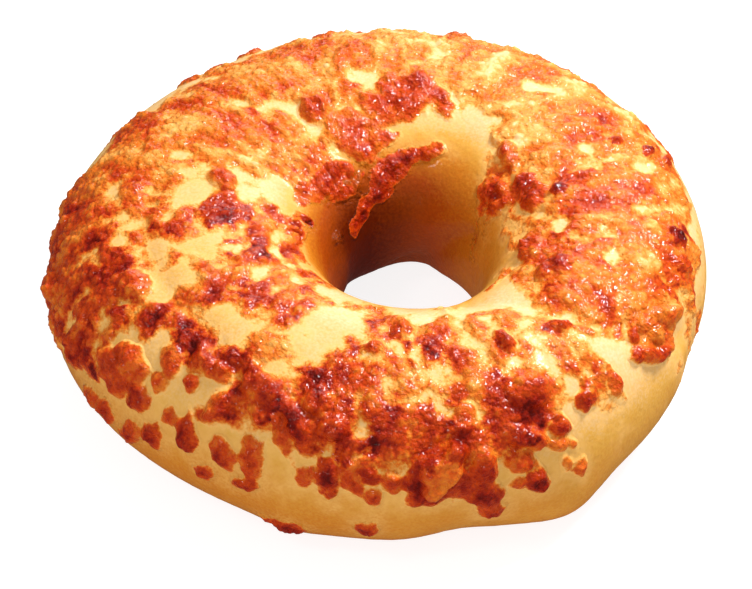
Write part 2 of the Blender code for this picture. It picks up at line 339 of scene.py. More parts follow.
@dataclass(frozen=True)
class CheeseMap:
    """Where the cheese lies, how thick it is and how dark it baked.

    The fingers are torn tongues at the top of the front and thin marks round the hole, and the
    tears are gaps between them. The sheets are wide melted fields, and the blobs are thick browned
    lumps, each laid over the ones before it. The far side's drips are strewn at random. Places
    that the photograph shows were measured on it as strokes, and most of them were turned into
    the ring's own coordinates by a conversion outside this script.
    """

    far_drips: int = 22
    far_arc: tuple[float, float] = (22.0, 178.0)
    far_down: tuple[float, float] = (18.5, 33.5)
    far_along: tuple[float, float] = (4.5, 11.0)
    far_across: tuple[float, float] = (3.0, 6.4)
    far_turn: tuple[float, float] = (-20.0, 20.0)
    far_lift: tuple[float, float] = (0.35, 0.6)
    far_bake: float = 0.55
    far_stray: tuple[float, float] = (0.1, 0.9)
    far_seed: int = 11
    merge: float = 2.4
    blob_merge: float = 4.0
    merge_reach: tuple[float, float] = (-6.0, 3.0)
    overlap: tuple[float, float] = (-0.4, 0.6)
    ragged: float = 1.15
    ragged_size: float = 2.8
    fine_ragged: float = 0.45
    fine_ragged_size: float = 1.3
    sheet_raggedness: float = 1.3
    sheet_fullness: float = 2.2
    blob_raggedness: float = 0.8
    blob_inset: float = 0.15
    lace_size: float = 3.8
    lace_depth: float = 2.4
    lace_bias: float = 0.15
    whole_around: float = 284.0
    whole_arc: tuple[float, float] = (22.0, 44.0)
    whole_lace: float = 0.16
    tear_slope: float = 1.1
    least_weight: float = 1e-9
    far_outside: float = -9.0
    fingers: tuple[Patch, ...] = (
        # The torn top of the front
        Patch(260, 6.1, 5, 2.6, -26, 0.8, 0.45),
        Patch(264.5, 4.1, 4.4, 2, 10, 0.8, 0.5),
        Patch(258, 10.3, 6, 4.2, -30, 0.9, 0.6),
        Patch(263.5, 9, 7, 4.4, 20, 0.9, 0.52),
        Patch(269, 6, 9, 2.4, 5, 0.8, 0.45),
        Patch(273.5, 5, 8, 2.2, 20, 0.8, 0.45),
        Patch(274.5, 9, 6, 3.2, 9, 0.9, 0.5),
        Patch(279, 3, 9, 3.4, 4, 0.8, 0.5),
        Patch(281, 11.1, 5, 3.2, 18, 0.8, 0.45),
        Patch(288, 5.5, 10, 6, 2, 0.9, 0.5),
        Patch(288, 13.1, 10, 6.4, 6, 1, 0.52),
        Patch(283.5, 0, 9, 4.4, 0, 0.8, 0.5),
        Patch(288, -3.4, 9, 5.4, -35, 0.8, 0.48),
        Patch(297.5, -3.4, 8, 5, -24, 0.8, 0.52),
        Patch(304, -2.6, 8, 5.4, 10, 0.7, 0.5),
        Patch(295.5, 4, 11, 4.6, 6, 0.9, 0.5),
        Patch(299, 14.9, 8.4, 12.6, -39, 1.1, 0.58),
        Patch(301.5, 6, 13, 3.4, 6, 0.8, 0.45),
        Patch(304.5, 10, 13, 3.2, 8, 0.8, 0.42),
        Patch(309, 13, 13, 3.4, 12, 0.8, 0.45),
        Patch(313.3, 15.8, 11, 2.8, 8, 0.8, 0.45),
        Patch(310.5, 5, 6, 3.4, 8, 0.9, 0.6),
        # The front's lip over the hole
        Patch(269, -5.7, 7, 2.2, 8, 0.6, 0.4),
        Patch(275, -5, 8, 3.8, 0, 0.7, 0.5),
        Patch(270.5, -11.5, 6, 3, 0, 0.4, 0.25),
        Patch(262, -10.5, 2.6, 1.6, 0, 0.4, 0.3),
        Patch(294.5, -11, 5, 3.4, 0, 0.4, 0.22),
        # The bow on the left crown
        Patch(229.6, -4, 8, 2.6, 0, 0.8, 0.5),
        Patch(234.5, -7.6, 2.4, 9, 0, 0.7, 0.45),
        Patch(240.5, -4.5, 7, 2.4, 0, 0.8, 0.5),
        Patch(236.5, 0.8, 2.6, 9, -12, 0.7, 0.5),
        Patch(245.8, -3.8, 6, 2.6, 0, 0.7, 0.45),
        # Marks on the hole's left wall
        Patch(236, -13.6, 3.4, 3, 0, 0.25, 0.5),
        Patch(228, -9.5, 4, 5, 30, 0.4, 0.25),
        Patch(213, -17.2, 1.6, 7, 0, 0.25, 0.6),
        Patch(214, -13.8, 1.4, 7.4, 0, 0.25, 0.56),
        Patch(217.5, -15.4, 3.2, 1.6, 0, 0.25, 0.54),
        Patch(209.5, -15.6, 3, 1.6, 0, 0.25, 0.54),
        Patch(200, -17.5, 3, 8, 0, 0.2, 0.52),
        Patch(184, -12, 4, 4.4, 0, 0.3, 0.5),
        # Thin streaks low on the right
        Patch(341, 27, 12, 1.5, 25, 0.3, 0.28),
        Patch(346, 29, 14, 1.6, 25, 0.4, 0.4),
        Patch(332, 26.5, 7, 1.3, 25, 0.3, 0.25),
    )
    tears: tuple[Tear, ...] = (
        # The front
        Tear(278.6, -2, 279.8, 13, 1.8),
        Tear(279.5, 9, 281.5, 14.5, 1.8),
        Tear(282, 14.5, 285.5, 17, 1.6),
        Tear(285.5, 3.7, 284.5, 9.3, 1.4),
        Tear(266, 14, 267.5, 18.7, 1.6),
        Tear(271.5, 8, 272, 13, 1.4),
        Tear(292.3, -6, 293.5, 8, 1.4),
        Tear(299.5, -4, 301.5, 6, 1.6),
        Tear(305, 9, 306, 17, 2),
        Tear(307, 16, 308.5, 24, 3.2),
        Tear(311.3, 9, 311.8, 22, 1.2),
        Tear(287.5, 14, 288.5, 19, 1.2),
        # The left side
        Tear(180.5, 7, 188.5, 4.1, 2.4),
        Tear(178, 6, 182, -0.2, 2.8),
        Tear(192, 11.2, 196.5, 9.1, 3),
        Tear(192.5, 23, 191, 15.4, 1.3),
        Tear(200, 30, 199, 20, 1.1),
        Tear(207, -3, 210, -6.6, 4.2),
        Tear(208.5, 6.6, 216.5, 4.5, 4),
        Tear(176, -9, 171, -15, 4),
        Tear(163, 2.8, 166, -0.6, 2),
        # The back, and the left where it meets the hole
        Tear(84.5, -12, 71.5, -12.4, 3.4),
        Tear(65, -6, 55, -10, 3.2),
        Tear(115.5, -14.3, 103, -18.8, 3.4),
        Tear(127.5, -0.6, 120, -10, 2.8),
        Tear(96.5, 0, 90, -3.7, 3.2),
        Tear(136, 4.5, 132.5, -3, 2.4),
        Tear(164.5, -11.4, 170, -19.7, 6),
        Tear(167, -5.3, 167, -12, 2.4),
        Tear(80.5, 1.5, 71.5, 6.1, 1.8),
        Tear(46.5, 5.1, 42, 6.4, 3.4),
        # The right side
        Tear(8.5, -3, 13, 2.1, 2),
        Tear(356.5, 9.5, 2.5, 19, 2.2),
        Tear(341.5, -2.1, 345.5, 4.5, 2),
        Tear(343, 4.9, 337, 5.3, 2.2),
        Tear(358, -14.7, 347.5, -6.4, 3.2),
        Tear(19, 1.9, 10, 2.4, 1.3),
        Tear(13, 4.1, 11, 12.5, 1.1),
        Tear(326, 15, 321, 19.9, 2.2),
        Tear(306, -10.5, 316, 6.1, 2.6),
        Tear(316, 6.1, 319.5, 11.4, 2.6),
    )
    sheets: tuple[Patch, ...] = (
        # The front
        Patch(245, 7.5, 7, 7, 0, 0.5, 0.32),
        Patch(242, 13.5, 5, 14, 0, 0.8, 0.54),
        Patch(230, 14, 4.5, 10, 0, 0.8, 0.6),
        Patch(247, 17, 9, 9, 0, 0.9, 0.52),
        Patch(258, 16, 13, 9, 0, 0.9, 0.54),
        Patch(265, 17, 14, 9, 0, 0.9, 0.62),
        Patch(272, 18, 13, 9, 0, 0.8, 0.58),
        Patch(267, 10, 11, 11, 0, 0.7, 0.4),
        Patch(279, 18.5, 13, 8, 0, 0.9, 0.52),
        Patch(286, 19, 14, 9, 0, 1, 0.58),
        Patch(293, 18, 16, 9, 0, 1, 0.6),
        Patch(300, 17, 12, 6, 0, 0.9, 0.5),
        # The right side
        Patch(318, 3, 14, 5, 0, 0.7, 0.45),
        Patch(324, 3, 26, 9, 0, 0.9, 0.5),
        Patch(332, -2, 27, 10, 0, 0.9, 0.5),
        Patch(340, -1, 29, 10, 0, 0.9, 0.48),
        Patch(337, 14, 18, 10, 0, 0.9, 0.42),
        Patch(330, 15, 9, 7, 0, 0.9, 0.42),
        Patch(345, 14, 22, 10, 0, 0.9, 0.42),
        Patch(350, 0, 28, 12, 0, 0.9, 0.45),
        Patch(354, 15, 20, 9, 0, 0.8, 0.42),
        Patch(0, 1, 30, 12, 0, 0.9, 0.45),
        Patch(5, 14, 18, 12, 0, 0.8, 0.4),
        Patch(8, -3, 28, 12, 0, 0.9, 0.5),
        Patch(18, 0, 24, 12, 0, 0.8, 0.42),
        Patch(17, 13, 16, 14, 0, 0.8, 0.38),
        Patch(28, 2, 24, 12, 0, 0.8, 0.38),
        Patch(30, 14, 14, 12, 0, 0.7, 0.34),
        Patch(39, 2, 20, 12, 0, 0.8, 0.36),
        Patch(42, 13, 14, 12, 0, 0.7, 0.33),
        Patch(50, 3, 20, 10, 0, 0.7, 0.34),
        Patch(56, 12, 14, 12, 0, 0.7, 0.34),
        Patch(61, 3, 20, 8, 0, 0.7, 0.38),
        # The back
        Patch(70, 5, 16, 10, 0, 0.7, 0.34),
        Patch(71, 14, 12, 12, 0, 0.7, 0.32),
        Patch(80, 4, 14, 9, 0, 0.7, 0.36),
        Patch(86, 13, 13, 12, 0, 0.7, 0.32),
        Patch(90, 3, 16, 9, 0, 0.7, 0.34),
        Patch(99, 4, 26, 9, 0, 0.8, 0.42),
        Patch(108, 5, 26, 10, 0, 0.7, 0.36),
        Patch(117, 2, 28, 10, 0, 0.8, 0.4),
        Patch(126, 3, 28, 10, 0, 0.8, 0.38),
        Patch(135, -1, 30, 10, 0, 0.8, 0.4),
        Patch(144, 1, 30, 10, 0, 0.8, 0.38),
        Patch(152, -1, 28, 10, 0, 0.8, 0.4),
        Patch(154, 14, 13, 14, 0, 0.8, 0.42),
        Patch(128, -13.8, 15, 11, 18, 0.7, 0.42),
        # The left side
        Patch(161, 1, 26, 9, 0, 0.8, 0.38),
        Patch(168, -5, 9, 9, 20, 0.9, 0.5),
        Patch(169, 8, 12, 10, 0, 0.7, 0.36),
        Patch(170, 19, 16, 12, 0, 0.9, 0.48),
        Patch(179, 22, 18, 12, 0, 0.9, 0.5),
        Patch(180, 8, 9, 8, 0, 0.7, 0.4),
        Patch(188, 23, 22, 12, 0, 0.9, 0.5),
        Patch(196, 23, 22, 10, 0, 0.9, 0.48),
        Patch(203, 17, 13, 8, 0, 0.9, 0.5),
        Patch(195, 13, 9, 10, 0, 0.8, 0.45),
        Patch(183, -7, 7, 8, 0, 0.8, 0.52),
        Patch(190, -5.5, 9, 9, 0, 0.9, 0.56),
        Patch(192, 3, 8, 8, 0, 0.8, 0.46),
        Patch(198, -11, 4, 10, 10, 0.8, 0.48),
        Patch(207, -10.5, 4, 9, -10, 0.8, 0.52),
        Patch(215, -6.5, 9, 7, -25, 0.9, 0.56),
        Patch(221, -1, 9, 5, 0, 0.7, 0.38),
        Patch(214, 3.5, 5, 10, 10, 0.6, 0.32),
        Patch(219, 6.5, 6, 6, 0, 0.6, 0.32),
        Patch(215.5, 14.3, 5.2, 13.6, 28, 0.8, 0.5),
        Patch(207, 26.3, 7.4, 8.7, 7, 0.8, 0.48),
        Patch(243, 19.5, 5.4, 9.2, 33, 0.8, 0.54),
        Patch(223.5, 4.5, 10.1, 4.6, -20, 0.6, 0.4),
        Patch(238, 0.6, 3.6, 6.8, 1, 0.9, 0.56),
        Patch(194, 24.4, 5.5, 10.4, 12, 0.8, 0.46),
        # Smears on the hole's right wall
        Patch(22, -15.1, 10.8, 2.6, 32, 0.3, 0.52),
        Patch(11.5, -22.5, 7.6, 2.2, 15, 0.25, 0.5),
        Patch(27.5, -10.5, 3.6, 6, -44, 0.5, 0.52),
    )
    blobs: tuple[Patch, ...] = (
        # The left side
        Patch(217.5, 24, 9, 11.5, 23, 1.1, 0.6),
        Patch(223, 26.4, 5.6, 5.2, -37, 1.1, 0.68),
        Patch(226, 17.4, 6.4, 3.8, 45, 1, 0.6),
        Patch(226, 21.9, 3.6, 3.2, 21, 0.9, 0.55),
        Patch(232.5, 19.5, 3.4, 3, 24, 1, 0.66),
        Patch(236, 15.2, 3.8, 7.2, -7, 0.9, 0.62),
        Patch(234.5, 12.7, 2, 7.2, 7, 0.9, 0.6),
        Patch(239.5, 21.2, 4.6, 5, 45, 0.8, 0.5),
        Patch(240, 19.2, 2.6, 2.2, -24, 1, 0.66),
        Patch(246, 14.7, 4.6, 6.4, -15, 1.1, 0.64),
        Patch(251, 16, 5, 5, 0, 1, 0.62),
        Patch(255, 18.5, 9.8, 4.6, 29, 1.3, 0.74),
        Patch(252, 20.4, 8.2, 2.8, 31, 1.1, 0.64),
        Patch(247.5, 20.1, 3.2, 2.2, 16, 0.8, 0.5),
        Patch(242, 28.5, 6.2, 4.6, 35, 1.1, 0.68),
        Patch(248, 27.5, 7.6, 4.5, 5, 1, 0.66),
        Patch(247, 33, 2.8, 5.6, 25, 1.2, 0.78),
        Patch(238.5, 34.3, 4, 3.6, -41, 1, 0.74),
        Patch(234.5, 27.6, 7.4, 4.2, 20, 1.1, 0.76),
        Patch(230.5, 26.4, 3.2, 2.8, -12, 0.9, 0.6),
        Patch(227.5, 31.9, 4.8, 5.4, 38, 1.1, 0.72),
        Patch(222, 34.3, 7.4, 4.2, -41, 1, 0.64),
        Patch(215.5, 34.3, 5.4, 4.6, -18, 1, 0.66),
        Patch(211, 34.2, 3.6, 7, 27, 1, 0.6),
        Patch(209.5, 16.3, 5.4, 1.8, -18, 1, 0.82),
        Patch(203.5, 28, 10, 5, 0, 0.8, 0.55),
        Patch(189, 28, 5, 5, 0, 1.3, 0.6),
        Patch(206.5, 12.5, 5, 6, 0, 0.9, 0.55),
        # The front
        Patch(258, 14.9, 5, 5.6, 20, 0.9, 0.62),
        Patch(262, 18.7, 4.6, 6.4, -1, 0.9, 0.6),
        Patch(257.5, 27.8, 4.6, 2.4, -36, 0.9, 0.64),
        Patch(261.5, 27.3, 7.8, 3.6, 7, 1.2, 0.8),
        Patch(265.5, 27.3, 6, 3.8, 18, 1, 0.66),
        Patch(268.5, 25.9, 4.4, 3.4, 34, 1.1, 0.84),
        Patch(272.5, 27.8, 4.2, 3.2, 36, 1, 0.62),
        Patch(269.5, 29.9, 3.8, 2.6, 8, 1, 0.64),
        Patch(267.5, 23.7, 2.4, 3.6, 17, 0.9, 0.6),
        Patch(279.4, 26.8, 13, 9, -42, 1, 0.76),
        Patch(283.5, 28.3, 6.6, 4, -33, 1.2, 0.7),
        Patch(287.5, 30.6, 9.2, 5.4, 37, 1.3, 0.7),
        Patch(287.5, 26, 7, 5.4, 0, 1.2, 0.7),
        # The flake, its top painted paler where the light falls on it
        Patch(281, 24.8, 10.5, 5.6, -42, 2.2, 0.46),
        # The front's right end
        Patch(289, 35.5, 6.2, 4.2, 33, 1.1, 0.68),
        Patch(293.5, 30.4, 3, 2.4, 40, 1, 0.66),
        Patch(297, 31.7, 6.2, 4.2, 37, 1.3, 0.84),
        Patch(294.5, 26.5, 5, 5, 0, 1.1, 0.6),
        Patch(302, 22.8, 3.6, 4.8, -19, 1.2, 0.72),
        Patch(302.5, 29.9, 3.4, 2.4, 28, 1.1, 0.5),
        Patch(305, 32.6, 3.4, 2.4, 33, 0.8, 0.6),
        Patch(304, 27, 2.4, 1.8, 38, 0.9, 0.5),
        Patch(308.5, 21.4, 4.4, 3.4, 17, 1.2, 0.74),
        Patch(296, 22.8, 3.8, 7.4, -26, 1.4, 0.52),
        Patch(301, 25.9, 3, 4.2, -10, 1.3, 0.5),
        Patch(268, 38.6, 5, 3.4, -17, 0.8, 0.7),
        Patch(253.5, 42.3, 5, 8, 0, 0.45, 0.7),
        Patch(316, 21.5, 6.5, 3.6, 10, 0.9, 0.6),
        Patch(268.5, 2.6, 3.8, 3, -12, 1.1, 0.62),
        Patch(277, -3.7, 5.6, 3.4, -3, 1.1, 0.56),
        Patch(300, 3.4, 5.4, 3, 2, 1.1, 0.74),
        Patch(313.5, 5.9, 3.8, 2.6, 19, 1.1, 0.74),
        Patch(286, 16, 5, 4.4, 0, 0.9, 0.6),
        Patch(299, 14.9, 6, 7, -39, 1, 0.62),
        # The lump like popcorn
        Patch(329.5, 20.5, 9, 10, -20, 1.1, 0.46),
        Patch(334, 20.5, 4.6, 8.4, -41, 1.4, 0.42),
        Patch(325.3, 17.5, 3.2, 3, 0, 1.5, 0.66),
        Patch(325.2, 21, 3.6, 3.4, 0, 1.7, 0.6),
        Patch(327.8, 23.4, 3.2, 3.2, 0, 1.6, 0.62),
        Patch(329.2, 20.3, 3.6, 3.4, 0, 1.9, 0.4),
        Patch(332, 23.4, 3, 4, -42, 1.5, 0.5),
        Patch(322.9, 20.3, 3, 2.6, 0, 1.4, 0.76),
        # The right side and its dark blisters
        Patch(328.5, -3.5, 6, 5, 0, 1, 0.72),
        Patch(324.5, -5.5, 4, 4, 0, 0.9, 0.66),
        Patch(337, -12, 6, 8, 0, 0.8, 0.62),
        Patch(352.5, 17, 4.4, 4, 0, 1.1, 0.8),
        Patch(348.5, 20, 7, 3, 10, 0.8, 0.6),
        Patch(1.5, -5.7, 2.8, 4.2, -17, 0.9, 0.86),
        Patch(5, -11, 6, 9, 0, 0.8, 0.7),
        Patch(13, -16.5, 5, 8, 0, 0.8, 0.62),
        Patch(28, -10.5, 4, 7, 0, 0.8, 0.56),
        Patch(19, 8.2, 2.9, 3.8, -31, 0.8, 0.8),
        Patch(16.5, 13.8, 2.2, 3.6, -41, 0.8, 0.8),
        Patch(16, 17.8, 1.9, 4.4, -43, 0.8, 0.78),
        # The back, and the runs down the hole's far wall
        Patch(67, -5.9, 8.6, 3.4, 43, 0.6, 0.58),
        Patch(99, 5.3, 9, 3.4, -19, 0.6, 0.52),
        Patch(80.5, -6.2, 11.5, 7, 41, 0.9, 0.6),
        Patch(75, -4, 6, 4, 25, 0.9, 0.62),
        Patch(90, -8.5, 9, 5, 35, 0.7, 0.6),
        Patch(70, -17.6, 3.6, 8.6, 10, 0.35, 0.68),
        Patch(81.5, -20.2, 5, 8.6, 24, 0.4, 0.7),
        Patch(92, -15, 4, 8, 20, 0.5, 0.64),
        Patch(102, -12.4, 11, 8, 39, 0.6, 0.56),
        Patch(94, -24, 3.8, 8.6, 34, 0.35, 0.72),
        Patch(107.5, -25.8, 3.4, 8.4, 43, 0.3, 0.74),
        Patch(117, -5.5, 5, 5, 0, 1, 0.6),
        Patch(131, -20.1, 4, 8, -11, 0.4, 0.64),
        Patch(124, -17.5, 4.4, 8, 0, 0.4, 0.66),
        Patch(140, -17.6, 4.4, 8, 0, 0.4, 0.68),
        Patch(154, -16.4, 3.6, 7, 0, 0.35, 0.6),
        Patch(58, -16.3, 2.6, 3, 0, 0.8, 0.62),
        Patch(172, -4.4, 4.4, 5, 20, 0.9, 0.6),
        Patch(163.5, -26.4, 2.2, 3.2, -38, 0.3, 0.5),
        Patch(321.5, -15.8, 1.6, 8, 0, 0.4, 0.55),
    )

    def drips(self) -> list[Patch]:
        """Return the drips of the far side, scattered evenly along the crust's edge there."""
        chance = Random(self.far_seed)
        first, last = self.far_arc
        step = (last - first) / self.far_drips
        drips = []
        for index in range(self.far_drips):
            around = first + step * (index + chance.uniform(*self.far_stray))
            down = chance.uniform(*self.far_down)
            along = chance.uniform(*self.far_along)
            across = chance.uniform(*self.far_across)
            turn = chance.uniform(*self.far_turn)
            lift = chance.uniform(*self.far_lift)
            drips.append(Patch(around, down, along, across, turn, lift, self.far_bake))
        return drips

    def within(self, patch: Patch, around: Field, down: Field, reach: Field) -> Field:
        """Return the distance inside a patch's plain outline, in millimetres, negative outside."""
        across = np.radians(degrees_between(around, patch.around)) * reach
        onward = down - patch.down
        cosine = math.cos(math.radians(patch.turn))
        sine = math.sin(math.radians(patch.turn))
        length_part = (onward * cosine + across * sine) / (patch.along / 2.0)
        width_part = (across * cosine - onward * sine) / (patch.across / 2.0)
        return (1.0 - np.hypot(length_part, width_part)) * min(patch.along, patch.across) / 2.0

    def plain_inside(self, around: Field, down: Field, points: Field) -> Field:
        """Return the distance inside the browned blobs' plain outlines, in millimetres."""
        reach = np.hypot(points[:, 0], points[:, 1])
        inside = np.full(len(points), self.far_outside)
        for patch in (*self.blobs, *self.drips()):
            inside = np.maximum(inside, self.within(patch, around, down, reach))
        return inside

    def read(
        self, layer: Layer, around: Field, down: Field, points: Field
    ) -> tuple[Field, Field, Field]:
        """Read one layer of cheese at each place.

        Args:
            layer: Which layer to read.
            around: Ring angles in degrees.
            down: Distances from the crown in millimetres.
            points: The dough's points in millimetres.

        Returns:
            The distance inside the layer's ragged edge in millimetres, its full thickness in
            millimetres and its bake from 0 to 1, each for every place.
        """
        reach = np.hypot(points[:, 0], points[:, 1])
        melted = layer is Layer.MELTED
        edge = self.ragged * grain(points, self.ragged_size, Pattern.EDGE)
        fine_edge = grain(points, self.fine_ragged_size, Pattern.FINE_EDGE)
        edge += self.fine_ragged * fine_edge
        patches = (*self.sheets, *self.fingers) if melted else (*self.blobs, *self.drips())
        merge = self.merge if melted else self.blob_merge
        mixed = np.zeros((2, len(points)))
        laid = np.zeros((2, len(points)))
        hidden = np.zeros(len(points))
        total = np.full(len(points), self.least_weight)
        for patch in patches:
            looks = np.array([[patch.lift], [patch.bake]])
            here = self.within(patch, around, down, reach)
            weight = np.exp(np.clip(here, *self.merge_reach) * merge)
            mixed += looks * weight
            total += weight
            if not melted:
                over = smoothstep(*self.overlap, here + edge)
                laid += (looks - laid) * over
                hidden += (1.0 - hidden) * over
        lift, bake = laid + (1.0 - hidden) * mixed / total
        inside = np.log(total) / merge
        if melted:
            inside = np.minimum(self.torn_open(inside, around, down, reach), self.sheet_fullness)
            edge = self.sheet_raggedness * edge + self.lace(around, points)
        else:
            edge = self.blob_raggedness * edge - self.blob_inset
        return inside + edge, lift, bake

    def torn_open(self, inside: Field, around: Field, down: Field, reach: Field) -> Field:
        """Return the distance inside the melted cheese once its tears are taken out."""
        for tear in self.tears:
            start, end = (tear.around, tear.down), (tear.end_around, tear.end_down)
            away = away_from_stretch(around, down, reach, start, end)
            inside = np.minimum(inside, self.tear_slope * (away - tear.width / 2.0))
        return inside

    def lace(self, around: Field, points: Field) -> Field:
        """Return how the sheets' edges wander into small openings, least at the whole front."""
        apart = np.abs(degrees_between(around, self.whole_around))
        torn = self.whole_lace + (1.0 - self.whole_lace) * smoothstep(*self.whole_arc, apart)
        openings = grain(points, self.lace_size, Pattern.LACE) + self.lace_bias
        return self.lace_depth * torn * openings


@dataclass(frozen=True)
class CrustFinish:
    """The looks of baked dough and of cheese, from barely melted to nearly burnt.

    A stop is a share of tanning and painted shade, or of bake with painted shade and light, and
    the colour there; the dough's deepest stops are mostly painted shade inside the hole. A rise is
    the two values between which something changes and what it changes from and to. Grains, by the
    size of their lumps, and depths are in millimetres.
    """

    dough_tan_and_shade_stops: tuple[tuple[float, Colour], ...] = (
        (0.0, srgb(242, 218, 184)),
        (0.3, srgb(210, 154, 60)),
        (0.5, srgb(192, 114, 24)),
        (0.7, srgb(158, 66, 6)),
        (1.0, srgb(84, 20, 0)),
    )
    fat: Colour = srgb(234, 182, 106)
    cheese_stops: tuple[tuple[float, Colour], ...] = (
        (0.05, srgb(234, 182, 106)),
        (0.22, srgb(226, 154, 70)),
        (0.38, srgb(218, 116, 30)),
        (0.60, srgb(194, 62, 5)),
        (0.78, srgb(148, 26, 1)),
        (0.90, srgb(104, 8, 0)),
        (1.0, srgb(76, 4, 0)),
    )
    fine_grain: float = 0.5
    coarse_grain: float = 1.6
    wide_grain: float = 7.0
    skin_grain: float = 0.9
    skin_depth: float = 0.12
    crust_depth: float = 0.8
    wet_grain: float = 1.0
    wet_depth: float = 0.55
    sheet_edge: Rise = (-1.5, 1.3, 0.0, 1.0)
    blob_rim: Rise = (-0.55, 0.15, 0.0, 0.84)
    blob_core: Rise = (0.0, 1.7, 1.0, 1.28)
    halo: Rise = (-3.2, -0.4, 0.0, 0.45)
    halo_loss: Rise = (0.34, 0.55, 1.0, 0.0)
    late_start: Rise = (0.32, 0.6, 0.0, 0.4)
    cheese_start: Rise = (0.02, 0.16, 0.0, 1.0)
    relief_mask: Rise = (0.03, 0.3, 0.10, 1.0)
    roughness: Rise = (0.3, 0.7, 0.30, 0.50)
    roughness_change: Rise = (0.05, 0.3, 0.12, -0.04)
    coat: Rise = (0.1, 0.5, 0.25, 0.65)
    coat_roughness: float = 0.10
    specular: float = 0.08


@dataclass(frozen=True)
class FloorFinish:
    """The looks of the plain floor."""

    colour: Colour = srgb(140, 140, 140)
    roughness: float = 0.6
    light: Colour = srgb(255, 255, 255)
    glow: float = 0.86


class Nodes:
    """A small helper that adds shader nodes to a material and links them."""

    def __init__(self, material: bpy.types.Material) -> None:
        """Start from the material's own shader."""
        self.tree = material.node_tree
        self.shader = self.tree.nodes["Principled BSDF"]

    def link(self, source: bpy.types.NodeSocket, target: bpy.types.NodeSocket) -> None:
        """Link two sockets."""
        self.tree.links.new(source, target)

    def attribute(self, name: str) -> bpy.types.NodeSocket:
        """Return the value of a named attribute of the mesh."""
        node = self.tree.nodes.new("ShaderNodeAttribute")
        node.attribute_name = name
        return node.outputs["Fac"]

    def place(self) -> bpy.types.NodeSocket:
        """Return the place on the object."""
        return self.tree.nodes.new("ShaderNodeTexCoord").outputs["Object"]

    def grain(self, size: float, detail: float) -> bpy.types.NodeSocket:
        """Return noise between 0 and 1 with lumps about `size` millimetres across."""
        node = self.tree.nodes.new("ShaderNodeTexNoise")
        node.inputs["Scale"].default_value = 1.0 / (size * MM)
        node.inputs["Detail"].default_value = detail
        self.link(self.place(), node.inputs["Vector"])
        return node.outputs["Fac"]

    def math(self, operation: str, *values: Value) -> bpy.types.NodeSocket:
        """Return what a Math node makes of sockets or numbers."""
        node = self.tree.nodes.new("ShaderNodeMath")
        node.operation = operation
        for socket, value in zip(node.inputs, values):
            if isinstance(value, bpy.types.NodeSocket):
                self.link(value, socket)
            else:
                socket.default_value = value
        return node.outputs["Value"]

    def rise(
        self, value: bpy.types.NodeSocket, low: float, high: float, start: float, end: float
    ) -> bpy.types.NodeSocket:
        """Return a smooth rise from `start` at `low` to `end` at `high`."""
        node = self.tree.nodes.new("ShaderNodeMapRange")
        node.interpolation_type = "SMOOTHSTEP"
        node.inputs["From Min"].default_value = low
        node.inputs["From Max"].default_value = high
        node.inputs["To Min"].default_value = start
        node.inputs["To Max"].default_value = end
        self.link(value, node.inputs["Value"])
        return node.outputs["Result"]

    def waver(self, value: bpy.types.NodeSocket, ends: float, share: float) -> bpy.types.NodeSocket:
        """Return noise as a value from -`share` to `share`, flat past `ends` from its middle."""
        return self.rise(value, 0.5 - ends, 0.5 + ends, -share, share)

    def ramp(
        self, value: bpy.types.NodeSocket, stops: Sequence[tuple[float, Colour]]
    ) -> bpy.types.NodeSocket:
        """Return the colour read at `value` from a ramp with the given stops."""
        node = self.tree.nodes.new("ShaderNodeValToRGB")
        elements = node.color_ramp.elements
        while len(elements) < len(stops):
            elements.new(0.5)
        for element, (place, colour) in zip(elements, stops):
            element.position = place
            element.color = colour
        self.link(value, node.inputs["Fac"])
        return node.outputs["Color"]

    def blend(self, share: Value, first: Value, second: Value) -> bpy.types.NodeSocket:
        """Return a mix of two colours."""
        node = self.tree.nodes.new("ShaderNodeMix")
        node.data_type = "RGBA"
        sockets = (node.inputs[0], node.inputs[6], node.inputs[7])
        for socket, value in zip(sockets, (share, first, second)):
            if isinstance(value, bpy.types.NodeSocket):
                self.link(value, socket)
            else:
                socket.default_value = value
        return node.outputs[2]

    def bump(
        self,
        height: bpy.types.NodeSocket,
        strength: float,
        distance: float,
        below: bpy.types.NodeSocket | None = None,
    ) -> bpy.types.NodeSocket:
        """Return a normal bent by `height`, over any bump `below` it."""
        node = self.tree.nodes.new("ShaderNodeBump")
        node.inputs["Strength"].default_value = strength
        node.inputs["Distance"].default_value = distance * MM
        self.link(height, node.inputs["Height"])
        if below is not None:
            self.link(below, node.inputs["Normal"])
        return node.outputs["Normal"]


